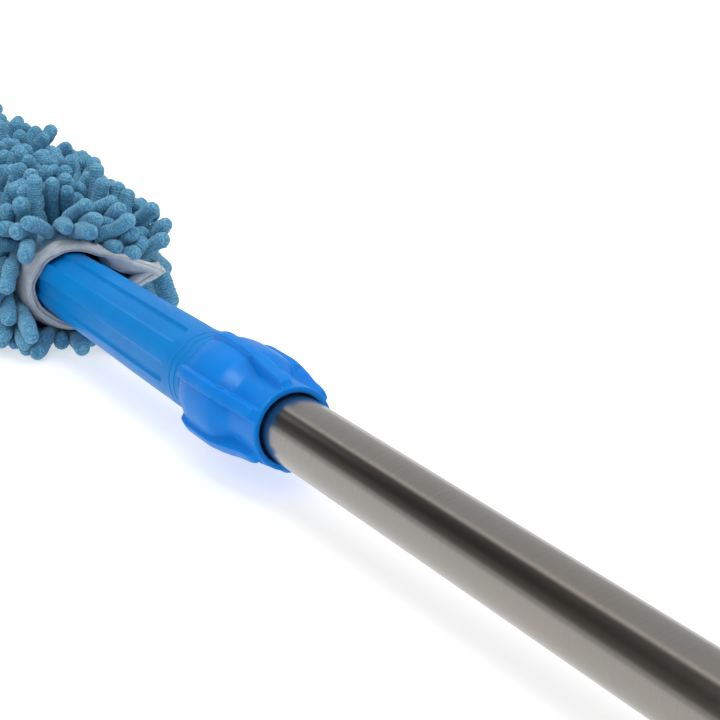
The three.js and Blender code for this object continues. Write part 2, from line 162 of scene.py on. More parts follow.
def rounded(outline, steps=4):
    """An outline of [x, r, fillet] corners as points, with each corner rounded by its fillet."""
    points = []
    count = len(outline)
    for k, (x, r, fillet) in enumerate(outline):
        corner = np.array([x, r], float)
        before = np.array(outline[k - 1][:2], float) - corner
        after = np.array(outline[(k + 1) % count][:2], float) - corner
        if fillet <= 0:
            points.append(corner)
            continue
        reach = min(fillet, np.linalg.norm(before) / 2, np.linalg.norm(after) / 2)
        start = corner + before / np.linalg.norm(before) * reach
        end = corner + after / np.linalg.norm(after) * reach
        for t in np.linspace(0, 1, steps + 1):
            points.append((1 - t) ** 2 * start + 2 * t * (1 - t) * corner + t ** 2 * end)
    return np.array(points)


def turned(name, outline, around=160, shape=None, angles=None):
    """A closed outline of (x, r) points turned about the pole's axis. shape(x, r, angle) may change r."""
    theta = circle(around) if angles is None else angles
    x, angle = np.meshgrid(outline[:, 0], theta, indexing="ij")
    r = np.repeat(outline[:, 1:2], len(theta), axis=1)
    if shape is not None:
        r = shape(x, r, angle)
    points = np.stack([x, r * np.cos(angle), r * np.sin(angle)], axis=-1).reshape(-1, 3)
    return mesh_object(name, points, [grid_faces(len(outline), len(theta), closed_rows=True)])


def stretches(*parts, endpoint=True):
    """Evenly spaced values in each (first, last, count) part."""
    return np.concatenate([np.linspace(*part, endpoint=endpoint) for part in parts])


def circle(count):
    return np.linspace(0, 2 * math.pi, count, endpoint=False)


def angles_round(first, count, *parts):
    """Angles round the pole that repeat count times from first, in (low, high, steps) parts in degrees."""
    pitch = 2 * math.pi / count
    near = np.radians(stretches(*parts, endpoint=False))
    return np.concatenate([first + k * pitch + near for k in range(count)])


def angle_off(angle, first, count):
    """The angle to the nearest of count evenly spaced angles, of which one is first."""
    pitch = 2 * math.pi / count
    return np.abs((angle - first + pitch / 2) % pitch - pitch / 2)


def unit(vectors, least=0.0):
    """Vectors made 1 long. A least above 0 lets one that has no length stay as it is."""
    return vectors / (np.linalg.norm(vectors, axis=-1, keepdims=True) + least)


def length_to_each(points):
    """The length of a line of points up to each of them."""
    return np.concatenate(([0], np.cumsum(np.linalg.norm(np.diff(points, axis=0), axis=1))))


def smooth(low, high, value):
    t = np.clip((np.asarray(value, float) - low) / (high - low), 0, 1)
    return t * t * (3 - 2 * t)


def curve_through(stations, x):
    """A smooth curve through (x, value) stations, by monotone cubic pieces."""
    px, py = np.array(stations, float).T
    slope = np.diff(py) / np.diff(px)
    middle = np.where(slope[:-1] * slope[1:] > 0,
                      2 * slope[:-1] * slope[1:] / (slope[:-1] + slope[1:] + 1e-12), 0)
    tangent = np.concatenate(([slope[0]], middle, [slope[-1]]))
    k = np.clip(np.searchsorted(px, x) - 1, 0, len(px) - 2)
    width = px[k + 1] - px[k]
    t = np.clip((x - px[k]) / width, 0, 1)
    return ((2 * t ** 3 - 3 * t ** 2 + 1) * py[k] + (t ** 3 - 2 * t ** 2 + t) * width * tangent[k]
            + (3 * t ** 2 - 2 * t ** 3) * py[k + 1] + (t ** 3 - t ** 2) * width * tangent[k + 1])


# ---------- material helpers ----------


class Surface:
    """A Principled material with short ways to add the nodes that pattern it."""

    def __init__(self, name, **constants):
        self.material = bpy.data.materials.new(name)
        self.material.use_nodes = True
        self.tree = self.material.node_tree
        self.shader = self.tree.nodes["Principled BSDF"]
        for socket, value in constants.items():
            self.shader.inputs[socket.replace("_", " ")].default_value = value

    def node(self, kind, inputs=None, **settings):
        made = self.tree.nodes.new(kind)
        for setting, value in settings.items():
            setattr(made, setting, value)
        for socket, value in (inputs or {}).items():
            if isinstance(value, bpy.types.NodeSocket):
                self.tree.links.new(value, made.inputs[socket])
            else:
                made.inputs[socket].default_value = value
        return made

    def place(self, stretch=(1, 1, 1)):
        """Row-frame coordinates in metres, stretched along each axis."""
        where = self.node("ShaderNodeTexCoord").outputs["Object"]
        return self.node("ShaderNodeMapping", {"Vector": where, "Scale": stretch}).outputs["Vector"]

    def noise(self, scale, vector=None, detail=3.0, roughness=0.55):
        made = self.node("ShaderNodeTexNoise", {"Vector": vector or self.place(), "Scale": scale,
                                                "Detail": detail, "Roughness": roughness})
        return made.outputs["Fac"]

    def waves(self, vector, axis, scale, distortion, detail=1.0, detail_scale=1.0):
        made = self.node("ShaderNodeTexWave", {"Vector": vector, "Scale": scale, "Distortion": distortion,
                                               "Detail": detail, "Detail Scale": detail_scale},
                         bands_direction=axis)
        return made.outputs["Fac"]

    def span(self, value, low, high, out_low=0.0, out_high=1.0):
        made = self.node("ShaderNodeMapRange", {"Value": value, "From Min": low, "From Max": high,
                                                "To Min": out_low, "To Max": out_high})
        return made.outputs["Result"]

    def math(self, operation, first, second):
        return self.node("ShaderNodeMath", {0: first, 1: second}, operation=operation).outputs["Value"]

    def mix(self, factor, first, second):
        """A colour between two colours, each a tuple or a socket."""
        made = self.node("ShaderNodeMix", {"Factor": factor}, data_type="RGBA")
        for socket, colour in (("A_Color", first), ("B_Color", second)):
            target = next(s for s in made.inputs if s.identifier == socket)
            if isinstance(colour, bpy.types.NodeSocket):
                self.tree.links.new(colour, target)
            else:
                target.default_value = (*colour, 1)
        return next(s for s in made.outputs if s.identifier == "Result_Color")

    def link(self, socket, value):
        self.tree.links.new(value, self.shader.inputs[socket])

    def bump(self, height, distance, strength=1.0):
        made = self.node("ShaderNodeBump", {"Height": height, "Distance": distance, "Strength": strength})
        self.link("Normal", made.outputs["Normal"])


def moulded_plastic(name, colour, deep, roughness=0.36):
    """Injection-moulded polypropylene: faint mottling, soft sheen, fine handling marks."""
    surface = Surface(name, IOR=1.4, Specular_IOR_Level=0.16, Subsurface_Weight=0.06,
                      Subsurface_Scale=0.002, Subsurface_Radius=(0.3, 0.6, 1.0))
    mottle = surface.noise(55, detail=4)
    surface.link("Base Color", surface.mix(surface.span(mottle, 0.35, 0.7), colour, deep))
    marks = surface.noise(900, surface.place((0.25, 1, 1)), detail=5)
    surface.link("Roughness", surface.span(marks, 0.3, 0.75, roughness - 0.05, roughness + 0.09))
    surface.bump(surface.math("ADD", surface.noise(2400, detail=2), mottle), 0.00002, 0.35)
    return surface.material


def brushed_steel(name, colour, roughness, turns=(4200, 45, 45)):
    """Ground stainless steel, with fine scratches that run round the tube."""
    surface = Surface(name, Metallic=1.0)
    grain = surface.noise(1.0, surface.place(turns), detail=6, roughness=0.7)
    cloud = surface.noise(14, surface.place((0.4, 1, 1)), detail=3)
    tone = tuple(0.78 * c for c in colour)
    shade = surface.mix(surface.span(grain, 0.3, 0.7), colour, tone)
    warm = (colour[0], colour[1] * 0.95, colour[2] * 0.89)
    surface.link("Base Color", surface.mix(surface.span(cloud, 0.42, 0.66, 0, 0.8), shade, warm))
    surface.link("Roughness", surface.span(grain, 0.25, 0.75, roughness - 0.035, roughness + 0.05))
    surface.bump(grain, 0.000002, 0.25)
    return surface.material


def woven_cloth(name, colour, shade, pitch=0.0009):
    """A plain weave, with the yarns' own slight colour variation."""
    surface = Surface(name, Roughness=0.92, Sheen_Weight=0.25, Sheen_Roughness=0.5)
    where = surface.place()
    # at scale 1 the texture's bands are pi / 10 apart
    scale = math.pi / 10 / pitch
    warp, weft = (surface.waves(where, axis, scale, 1.2) for axis in "XZ")
    weave = surface.math("MULTIPLY", warp, weft)
    blotch = surface.span(surface.noise(160, detail=4), 0.3, 0.7, 0.7, 1)
    tone = surface.math("MULTIPLY", surface.span(weave, 0, 1, 0.55, 1), blotch)
    surface.link("Base Color", surface.mix(tone, shade, colour))
    surface.bump(weave, 0.00018, 0.8)
    return surface.material


def ribbed_tape(name, colour, shade):
    """Brushed binding tape: fine cords along its length, with pulled fibres and a little soil. Its u runs
    across the tape and its v along it, in millimetres."""
    surface = Surface(name, Roughness=0.95, Sheen_Weight=0.2, Sheen_Roughness=0.5, Specular_IOR_Level=0.15)
    weave = surface.node("ShaderNodeUVMap", uv_map="Weave").outputs["UV"]
    cords = surface.waves(weave, "X", 0.36, 1.6, detail=3.0, detail_scale=1.2)
    stretched = surface.node("ShaderNodeMapping", {"Vector": weave, "Scale": (2.6, 0.35, 1)})
    fibres = surface.noise(1.0, stretched.outputs["Vector"], detail=5, roughness=0.7)
    soil = surface.noise(150, detail=5)
    fuzz = surface.noise(1500, detail=3)
    pulled = surface.span(fibres, 0.32, 0.62, 0.25, 1)
    tone = surface.math("MULTIPLY", surface.span(cords, 0, 1, 0.6, 1), pulled)
    tone = surface.math("MULTIPLY", tone, surface.span(soil, 0.3, 0.68, 0.4, 1))
    surface.link("Base Color", surface.mix(tone, shade, colour))
    height = surface.math("ADD", surface.math("ADD", surface.math("MULTIPLY", cords, 0.6), fibres), fuzz)
    surface.bump(height, 0.00035, 0.8)
    return surface.material


def chenille_yarn(name):
    """Microfibre chenille: soft cross ridges, with painted shade in their valleys, and speckled pile. Its u
    runs along the noodle and its v round it, in millimetres."""
    surface = Surface(name, Roughness=1.0, Sheen_Weight=0.35, Sheen_Roughness=0.5, Specular_IOR_Level=0.1,
                      Sheen_Tint=(0.6, 0.85, 1.0, 1))
    weave = surface.node("ShaderNodeUVMap", uv_map="Weave").outputs["UV"]
    ridges = surface.waves(weave, "X", 0.25, 5.5, detail=3.0, detail_scale=2.4)
    pile = surface.noise(1450, detail=3, roughness=0.6)
    tuft = surface.noise(420, detail=4, roughness=0.6)
    tone = surface.node("ShaderNodeAttribute", attribute_name="tone").outputs["Fac"]
    lit = surface.mix(tone, (0.09, 0.31, 0.485), (0.155, 0.425, 0.615))
    worn = surface.mix(surface.span(tuft, 0.42, 0.72, 0, 0.6), lit, (0.275, 0.55, 0.72))
    speckle = surface.span(pile, 0.3, 0.56, 0.15, 1)
    # painted shade: the ridges' valleys go towards the dark blue below, and the pile's speckle, the yarn's
    # own tone, darkens with them
    ridge_shade_and_speckle = surface.math("MULTIPLY", surface.span(ridges, 0.0, 0.6, 0.45, 1), speckle)
    surface.link("Base Color", surface.mix(ridge_shade_and_speckle, (0.024, 0.13, 0.25), worn))
    height = surface.math("ADD", surface.math("MULTIPLY", ridges, 0.6), surface.math("MULTIPLY", pile, 1.3))
    surface.bump(height, 0.00034, 0.8)
    return surface.material


def foam_rubber(name, colour, shade, cell=0.0009):
    surface = Surface(name, Roughness=0.95)
    cells = surface.node("ShaderNodeTexVoronoi", {"Vector": surface.place(), "Scale": 1 / cell})
    tone = surface.span(cells.outputs["Distance"], 0.1, 0.75)
    blotch = surface.noise(60, detail=3)
    tint = surface.mix(surface.span(blotch, 0.35, 0.7), colour, tuple(0.88 * c for c in colour))
    surface.link("Base Color", surface.mix(tone, shade, tint))
    surface.bump(tone, 0.0002, 0.7)
    return surface.material


NECK_BLUE = moulded_plastic("neck_plastic", (0.0, 0.205, 0.58), (0.0, 0.18, 0.53))
NUT_BLUE = moulded_plastic("nut_plastic", (0.002, 0.20, 0.66), (0.001, 0.18, 0.60), 0.33)
STEEL = brushed_steel("ground_stainless", (0.375, 0.36, 0.335), 0.2)
ZINC = brushed_steel("zinc_plate", (0.62, 0.63, 0.65), 0.3, (400, 400, 400))
WHITE = moulded_plastic("white_plastic", (0.78, 0.78, 0.76), (0.7, 0.7, 0.69), 0.45)
RUBBER = foam_rubber("grip_rubber", (0.035, 0.038, 0.042), (0.012, 0.013, 0.015), 0.0011)
FOAM = foam_rubber("pad_foam", (0.72, 0.69, 0.6), (0.42, 0.4, 0.34), 0.0013)
CLOTH_WEAVE = woven_cloth("backing_cloth", (0.16, 0.36, 0.52), (0.07, 0.2, 0.33))
TAPE = ribbed_tape("binding_tape", (0.72, 0.77, 0.80), (0.32, 0.37, 0.41))
ELASTIC = ribbed_tape("elastic_band", (0.8, 0.8, 0.79), (0.5, 0.5, 0.5))
YARN = chenille_yarn("chenille_yarn")
STITCH = ribbed_tape("stitch_thread", (0.42, 0.44, 0.48), (0.2, 0.21, 0.24))

# ---------- pole ----------


def steel_tube():
    outline = rounded([(TUBE_FRONT, TUBE_BORE_R, 0.2), (TUBE_FRONT, TUBE_R, 0.3),
                       (TUBE_REAR, TUBE_R, 0.3), (TUBE_REAR, TUBE_BORE_R, 0.2)], 3)
    tube = turned("pole_tube", outline, 192)
    return finished(tube, "pole", "brushed_tube", STEEL, "steel_tube")


# ---------- clamp nut ----------

NUT_BODY = [(NUT_END, 16.5), (-58, 18.05), (-54, 19.25), (-48, 19.95), (-40, 20.0), (-35, 19.75),
            (-32, 19.3), (-29.5, 18.4), (-26, 16.7), (-23.5, 15.6), (-20.5, 15.15), (-9, 15.1), (-7, 15.15)]
RIB_TOP = [(NUT_END, 18.2), (NUT_END + 2.5, 19.4), (NUT_END + 5, 20.9), (-50, NUT_RIB_R), (-36, NUT_RIB_R),
           (-28.5, 21.2), (-22, 20.2), (-15, 18.8), (-9, 18.1), (-7, 17.5), (-5, 16.4)]
RIB_COUNT = 6
RIB_ANGLE = math.radians(34)
RIB_HALF_WIDTH = 2.3


def rib_shape(x, r, angle):
    """Raises the nut's outer surface into ribs with rounded edges."""
    across = r * np.sin(angle_off(angle, RIB_ANGLE, RIB_COUNT))
    side = 1 - smooth(RIB_HALF_WIDTH - 0.7, RIB_HALF_WIDTH + 0.55, across)
    crown = 0.35 * (across / RIB_HALF_WIDTH) ** 2
    ends = smooth(NUT_END + 2.2, NUT_END + 4.4, x) * (1 - smooth(NUT_MOUTH - 3.4, NUT_MOUTH - 1.3, x))
    top = curve_through(RIB_TOP, x) - crown
    lifted = r + np.maximum(top - r, 0) * side * ends
    return np.where(r > NUT_BORE_R + 1.9, lifted, r)


def clamp_nut():
    x = stretches((NUT_END + 0.7, NUT_END + 6, 18), (NUT_END + 6.6, -36, 26), (-35.3, -20, 32),
                  (-19, NUT_MOUTH - 6, 10), (NUT_MOUTH - 5.6, NUT_MOUTH - 1.7, 14))
    body = np.stack([x, curve_through(NUT_BODY, x)], axis=1)
    thread_r = radius_of("neck_tube", rear_of=NUT_END + 1) + 0.3
    ring_low, ring_high = span("clamp_ring")
    ring_r = radius_of("clamp_ring") + 0.3
    lip = rounded([(NUT_MOUTH - 1.5, 15.3, 0), (NUT_MOUTH, 15.3, 1.1), (NUT_MOUTH, NUT_BORE_R, 0.9),
                   (ring_high[0] + 0.3, NUT_BORE_R, 0.2), (ring_high[0] + 0.3, ring_r - 0.5, 0.2),
                   (ring_low[0], ring_r, 0.1), (ring_low[0], thread_r, 0.1), (NUT_END, thread_r, 0.4),
                   (NUT_END, 16.45, 0.6), (NUT_END + 0.9, 16.8, 0)])
    # close together where the ribs' sides stand
    angles = angles_round(RIB_ANGLE, RIB_COUNT, (-11, -4, 18), (-4, 4, 6), (4, 11, 18), (11, 49, 18))
    nut = turned("ribbed_nut", np.concatenate((body, lip[:-1])), shape=rib_shape, angles=angles)
    return finished(nut, "nut", "nut_blue", NUT_BLUE, "clamp_nut")


# ---------- neck ----------

SHOULDER = -62.5  # where the neck steps down to its thread
THREAD_PITCH = 3.0
THREAD_DEPTH = 0.75
NECK_TAPER = [(NECK_FRONT, 14.8), (-200, 15.0), (-165, 15.2), (-80, NECK_R), (SHOULDER, NECK_R)]
FLUTE_COUNT = 6
FLUTE_ANGLE = math.radians(57)
FLUTE_FRONT, FLUTE_REAR = NECK_FRONT + 10, -78.0
FLUTE_HALF_WIDTH = 4.7
FLUTE_DEPTH = 1.35
FLUTE_CORNER = 3.2
RING_GROOVES = (-71.2, -67.0)


def flute_shape(x, r, angle):
    """Sinks six long panels with rounded corners, and two ring grooves, into the neck's outer surface."""
    off = angle_off(angle, FLUTE_ANGLE, FLUTE_COUNT)
    across = r * np.sin(off)
    middle = (FLUTE_FRONT + FLUTE_REAR) / 2
    along = np.abs(x - middle) - (FLUTE_REAR - FLUTE_FRONT) / 2 + FLUTE_CORNER
    sideways = across - FLUTE_HALF_WIDTH + FLUTE_CORNER
    outside = np.hypot(np.maximum(along, 0), np.maximum(sideways, 0))
    edge = outside + np.minimum(np.maximum(along, sideways), 0) - FLUTE_CORNER
    sunk = FLUTE_DEPTH * (1 - smooth(-1.9, 0.2, edge))
    flat = r * (1 / np.cos(np.minimum(off, 0.4)) - 1) * 0.5
    panel = np.maximum(sunk - flat * (sunk > 0.01), 0)
    rings = sum(0.5 * np.exp(-((x - groove) / 0.36) ** 2) for groove in RING_GROOVES)
    return np.where(r > NECK_BORE_R + 1.3, r - panel - rings, r)


def neck_tube():
    thread_r = radius_of("neck_tube", rear_of=NUT_END + 1)
    grooves = [(groove - 1.2, groove + 1.2, 17) for groove in RING_GROOVES]
    x = np.unique(stretches((NECK_FRONT + 1.2, FLUTE_FRONT - 3, 5), (FLUTE_FRONT - 2.5, FLUTE_FRONT + 5, 24),
                            (FLUTE_FRONT + 6, FLUTE_REAR - 6, 48), (FLUTE_REAR - 5, FLUTE_REAR + 3, 24),
                            *grooves, (SHOULDER - 2.5, SHOULDER - 1, 4)))
    body = np.stack([x, curve_through(NECK_TAPER, x)], axis=1)
    thread = []
    for k in range(int((NECK_REAR - NUT_END) / THREAD_PITCH) * 4):
        crest = thread_r - (0.0 if k % 4 in (1, 2) else THREAD_DEPTH)
        thread.append((SHOULDER + 1 + k * THREAD_PITCH / 4, crest))
    rear = np.array([(SHOULDER - 0.4, NECK_R), (SHOULDER, NECK_R - 0.3), (SHOULDER, thread_r - THREAD_DEPTH),
                     *thread, (NECK_REAR, thread_r - 0.9), (NECK_REAR, NECK_BORE_R)])
    front = np.array([(NECK_FRONT, NECK_BORE_R), (NECK_FRONT, 14.3), (NECK_FRONT + 0.5, 14.75)])
    angles = angles_round(FLUTE_ANGLE, FLUTE_COUNT, (-20, -13.5, 14), (-13.5, 13.5, 14), (13.5, 20, 14),
                          (20, 40, 8))
    neck = turned("fluted_neck", np.concatenate((front, body, rear)), shape=flute_shape, angles=angles)
    return finished(neck, "head", "neck_blue", NECK_BLUE, "neck_tube")


# ---------- sleeve ----------

CLOTH = 1.2
MOUTH_X = -201.0
MOUTH_SKEW = 0.34  # how far the mouth slants, for each step across
TURN_START, TURN_END = MOUTH_X - 71, MOUTH_X - 13  # where the flat bag turns into the round mouth
SLEEVE_TIP = float(SLEEVE_LOW[0])
TIP_ROUNDING = 34.0
BODY_HALF_HEIGHT = 15.0
MOUTH_NEAR, MOUTH_FAR = 21.0, 38.5
MOUTH_HALF_HEIGHT = 19.6
GATHER = 3.6  # how far the elastic draws the mouth in
FLARE = 14.0  # how far the far lip turns outwards
SNUG = NECK_R + 2.1  # the least distance of the mouth's cloth from the pole's axis
NOODLE_R = 3.45
TAPE_THICK = 1.9  # on the bag's outside
STITCH_PITCH = 3.1


def power(value, exponent):
    return np.sign(value) * np.abs(value) ** exponent


def slant(x, y):
    """How far the mouth's slant moves a point of the bag along the pole."""
    return MOUTH_SKEW * (y - SLEEVE_Y) * smooth(TURN_START + 2, TURN_END, x)


def sleeve_point(x, a, out=0.0):
    """The bag's outer surface, pushed outwards by out. It is a flat oval round the pads, and its mouth hugs
    the neck on one side and runs out to a pinched corner on the other."""
    x, a = np.broadcast_arrays(np.asarray(x, float), np.asarray(a, float))
    c, s = np.cos(a), np.sin(a)
    least = SNUG + out
    tip = np.sqrt(np.clip(1 - ((SLEEVE_TIP + TIP_ROUNDING - x) / TIP_ROUNDING) ** 2, 0, 1))
    tip = np.where(x < SLEEVE_TIP + TIP_ROUNDING, np.maximum(tip, 0.02), 1)
    body_y = SLEEVE_Y + (SLEEVE_HALF_WIDTH * (0.25 + 0.75 * tip) * tip ** 0.5 + out) * power(c, 0.83)
    body_z = (BODY_HALF_HEIGHT * tip + out) * power(s, 0.83)
    flared = smooth(0.45, 0.75, c) * smooth(-0.1, 0.25, s)
    waist = smooth(MOUTH_X - 26, MOUTH_X - 11, x) * np.clip((MOUTH_X - x) / 11, 0, 1)
    out = out + 1.4 - GATHER * smooth(TURN_END, MOUTH_X, x) - FLARE * flared * waist
    mouth_y = np.where(c < 0, (MOUTH_NEAR + out) * c, (MOUTH_FAR + out) * power(c, 1.72))
    far_side = np.where(s > 0, power(s, 1.72), power(s, 2.6))
    mouth_z = (MOUTH_HALF_HEIGHT + out) * np.where(c < 0, s, far_side)
    mouth_z = mouth_z + np.where(c < 0, 0.03, 0.14) * mouth_y
    grow = np.maximum(least / np.maximum(np.hypot(mouth_y, mouth_z), 1), 1)
    mouth_y = mouth_y * grow
    mouth_z = mouth_z * grow
    near_mouth = smooth(TURN_START, TURN_END, x)
    y = body_y + (mouth_y - body_y) * near_mouth
    z = body_z + (mouth_z - body_z) * near_mouth
    return np.stack([x + slant(x, y), y, z], axis=-1)


def sleeve_normal(x, a):
    step_x, step_a = 0.5, 0.01
    along = sleeve_point(x + step_x, a) - sleeve_point(x - step_x, a)
    round_it = sleeve_point(x, a + step_a) - sleeve_point(x, a - step_a)
    return unit(np.cross(round_it, along), 1e-9)


def sleeve_backing():
    """The bag itself: two cloth panels seamed along the sides, open at the mouth."""
    around = 120
    a = circle(around)
    x = np.concatenate((SLEEVE_TIP + TIP_ROUNDING * (1 - np.cos(np.linspace(0.03, math.pi / 2, 14))),
                        np.linspace(SLEEVE_TIP + TIP_ROUNDING + 6, MOUTH_X - 2, 64)))
    outer = np.concatenate([sleeve_point(station, a) for station in x])
    inner = np.concatenate([sleeve_point(station, a, -CLOTH) for station in x[::-1]])
    inner[-around:, 0] += CLOTH
    rows = 2 * len(x)
    ends = np.array([outer[:around].mean(0), inner[-around:].mean(0)])
    points = np.concatenate((outer, inner, ends))
    column = np.arange(around)
    after = (column + 1) % around
    first = np.stack([np.full(around, rows * around), after, column], axis=1)
    last_row = (rows - 1) * around
    last = np.stack([np.full(around, rows * around + 1), last_row + column, last_row + after], axis=1)
    bag = mesh_object("sleeve_bag", points, [grid_faces(rows, around), np.concatenate((first, last))])
    return finished(bag, "sleeve", "backing_cloth", CLOTH_WEAVE, "sleeve_backing")


def mouth_frames(count):
    """Evenly spaced points of the mouth's edge, the directions out of the sleeve and out of its mouth at
    each, and the edge's length."""
    fine = np.linspace(0, 2 * math.pi, 1441)
    edge = sleeve_point(MOUTH_X, fine)
    length = length_to_each(edge)
    a = np.interp(np.linspace(0, length[-1], count, endpoint=False), length, fine)
    on_edge = sleeve_point(MOUTH_X, a)
    ahead = unit(np.roll(on_edge, -1, axis=0) - np.roll(on_edge, 1, axis=0))
    back = on_edge - sleeve_point(MOUTH_X - 3, a)
    back = unit(back - ahead * (back * ahead).sum(1, keepdims=True))
    return on_edge, np.cross(ahead, back), back, length[-1]


def swept_loop(name, outline, count, wobble=None):
    """A closed band of (out, back) outline points carried round the mouth's edge."""
    centre, out, back, length = mouth_frames(count)
    outline = np.asarray(outline, float)
    across = np.repeat(outline[None, :, :], count, axis=0)
    along = np.arange(count) / count * length
    if wobble is not None:
        across = across + wobble(along, outline, centre)
    points = centre[:, None, :] + across[:, :, :1] * out[:, None, :] + across[:, :, 1:] * back[:, None, :]
    u = np.repeat(length_to_each(outline)[None, :], count, 0)
    v = np.repeat(along[:, None], len(outline), 1)
    faces = grid_faces(count, len(outline), closed_rows=True)
    return mesh_object(name, points.reshape(-1, 3), [faces], np.stack([u, v], axis=-1).reshape(-1, 2))


def mouth_binding():
    """A puffy tape folded over the bag's edge, drawn in along the row of its stitches."""
    rng = np.random.default_rng(5)
    # how far the tape reaches along the bag's outside and its inside
    side, inside = 8.5, 10.5
    outline = rounded([(-3.2, 1.2, 1.7), (-3.0, -inside / 2, 1.8), (-1.6, -inside, 0.4),
                       (-CLOTH, -inside - 0.3, 0.2), (-CLOTH, -1.2, 0), (0.1, -1.2, 0),
                       (0.1, -side - 0.8, 0.2), (0.9, -side - 0.5, 0.5), (TAPE_THICK, -side / 2, 1.5),
                       (1.2, 1.4, 1.9)], 5)
    waves = [(rng.uniform(6, 26), rng.uniform(0, 6.28), rng.uniform(0.08, 0.3)) for _ in range(14)]

    def wobble(along, shape, centre):
        swell = sum(height * np.sin(along / period * 2 * math.pi + phase)
                    for period, phase, height in waves)
        puff = np.where(shape[:, 0] > 0.5, 0.35, -0.2)
        stitch = 0.16 * np.cos(along / STITCH_PITCH * 2 * math.pi)
        held = np.exp(-((shape[:, 1] + side - 1.4) / 0.9) ** 2) * (shape[:, 0] > 0.3)
        out = swell[:, None] * puff[None, :] + stitch[:, None] * held[None, :]
        tight = smooth(-13, -3, centre[:, 1]) * (1 - smooth(18, 30, centre[:, 1]))
        # the tape's inside is pressed thin where the mouth lies against the neck
        out -= 0.55 * tight[:, None] * np.minimum(shape[None, :, 0] + CLOTH, 0)
        return np.stack([out, 0.35 * swell[:, None] * (shape[:, 1] > -1)[None, :]], axis=-1)

    tape = swept_loop("mouth_tape", outline, 420, wobble)
    return finished(tape, "sleeve", "binding_tape", TAPE, "mouth_binding")


def mouth_stitches():
    """A row of short thread stitches along the tape's outer edge."""
    reach, thread_r, rings, sides = 1.9, 0.2, 5, 6
    lift, from_edge = 1.6, 6.1
    centre, out, back, _ = mouth_frames(2 * int(length_of_mouth() / STITCH_PITCH))
    points, faces = [], []
    for k in range(0, len(centre), 2):
        faces.append(grid_faces(rings, sides) + len(points))
        base = centre[k] + out[k] * lift - back[k] * from_edge
        ahead = np.cross(back[k], out[k])
        for step in np.linspace(-0.5, 0.5, rings):
            rise = 0.32 * math.cos(step * math.pi)
            middle = base + ahead * step * reach + out[k] * (rise - 0.1)
            for turn in range(sides):
                angle = turn * 2 * math.pi / sides
                points.append(middle + thread_r * (math.cos(angle) * out[k] + math.sin(angle) * back[k]))
    stitches = mesh_object("tape_stitches", np.array(points), [np.concatenate(faces)])
    return finished(stitches, "sleeve", "binding_tape", STITCH)


def length_of_mouth():
    return mouth_frames(8)[3]


def mouth_elastic():
    outer, inner = 0.05 - CLOTH, -0.05 - CLOTH
    outline = rounded([(outer, -1.4, 0.2), (outer, -4.2, 0.2), (inner, -4.2, 0.1), (inner, -1.4, 0.1)], 2)
    band = swept_loop("hem_elastic", outline, 200)
    return finished(band, "sleeve", "elastic", ELASTIC, "mouth_elastic")


# ---------- chenille ----------

NOODLE_SPACING = 9.1
NOODLE_JOINTS = 6
NOODLE_LENGTH = (29.0, 35.0)
NOODLE_SEAT = NOODLE_R * 0.55  # from the bag to the root's centre
NOODLE_REST = NOODLE_R * 0.97  # how near the bag a noodle's centre line may lie
CONTACT = 2 * NOODLE_R * 0.985  # how near each other two noodles may lie
CAP_RINGS = 6
ROUGHNESS = 0.6  # how far a noodle's pile stands past its radius
SAG = 0.11  # how far a joint sinks in each round of settling


def noodle_bases(rng):
    """Places sewn in rows round the bag, staggered and a little uneven, with the bag's angle at each."""
    places = []
    first, last = SLEEVE_TIP + 1.5, MOUTH_X - 9.5
    rows = round((last - first) / (0.87 * NOODLE_SPACING))
    fine = np.linspace(0, 2 * math.pi, 721)
    for row, x in enumerate(np.linspace(first, last, rows)):
        length = length_to_each(sleeve_point(x, fine))
        count = max(3, round(length[-1] / NOODLE_SPACING))
        at = (np.arange(count) + 0.5 * (row % 2) + rng.uniform(-0.22, 0.22, count)) / count * length[-1]
        for a in np.interp(at % length[-1], length, fine):
            places.append((x + rng.uniform(-1.6, 1.0), a))
    return np.array(places)


def outside_bag(points, clearance):
    """Pushes points out of the bag, the neck and the floor."""
    x, y, z = points.T
    upright = x - slant(x, y)
    station = np.clip(upright, SLEEVE_TIP + 2, MOUTH_X)
    centre_y = SLEEVE_Y * (1 - smooth(TURN_START, TURN_END, station))
    above = clearance + TAPE_THICK * smooth(MOUTH_X - 12, MOUTH_X - 8, station)
    a = np.arctan2(z, y - centre_y)
    # a few passes find the bag's own angle under each point
    for _ in range(3):
        on = sleeve_point(station, a, above)
        a = a + np.arctan2(z, y - centre_y) - np.arctan2(on[:, 2], on[:, 1] - centre_y)
    on = sleeve_point(station, a, above)
    reach = np.hypot(y - centre_y, z)
    limit = np.hypot(on[:, 1] - centre_y, on[:, 2])
    inside = (reach < limit) & (upright > SLEEVE_TIP + 2) & (upright < MOUTH_X + 5)
    grow = np.where(inside, limit / np.maximum(reach, 0.5), 1)
    points[:, 1] = centre_y + (y - centre_y) * grow
    points[:, 2] = z * grow
    axis_reach = np.hypot(points[:, 1], points[:, 2])
    neck = NECK_R + clearance
    over_neck = (points[:, 0] > MOUTH_X) & (axis_reach < neck)
    points[over_neck, 1:] *= (neck / axis_reach[over_neck])[:, None]
    points[:, 2] = np.maximum(points[:, 2], floor_z(points[:, 0]) + clearance + ROUGHNESS)
    return points


def near_pairs(points, owner, reach):
    """Pairs of points of different noodles that are closer than reach."""
    tree = kdtree.KDTree(len(points))
    for k, point in enumerate(points):
        tree.insert(point, k)
    tree.balance()
    pairs = [(k, other) for k, point in enumerate(points) for _, other, _ in tree.find_range(point, reach)
             if other > k and owner[other] != owner[k]]
    return np.array(pairs).T


def pushed_apart(points, first, second):
    gap = points[second] - points[first]
    distance = np.linalg.norm(gap, axis=1) + 1e-6
    push = np.maximum(CONTACT - distance, 0)[:, None] * gap / distance[:, None] * 0.3
    moved = np.zeros_like(points)
    np.add.at(moved, first, -push)
    np.add.at(moved, second, push)
    return points + moved


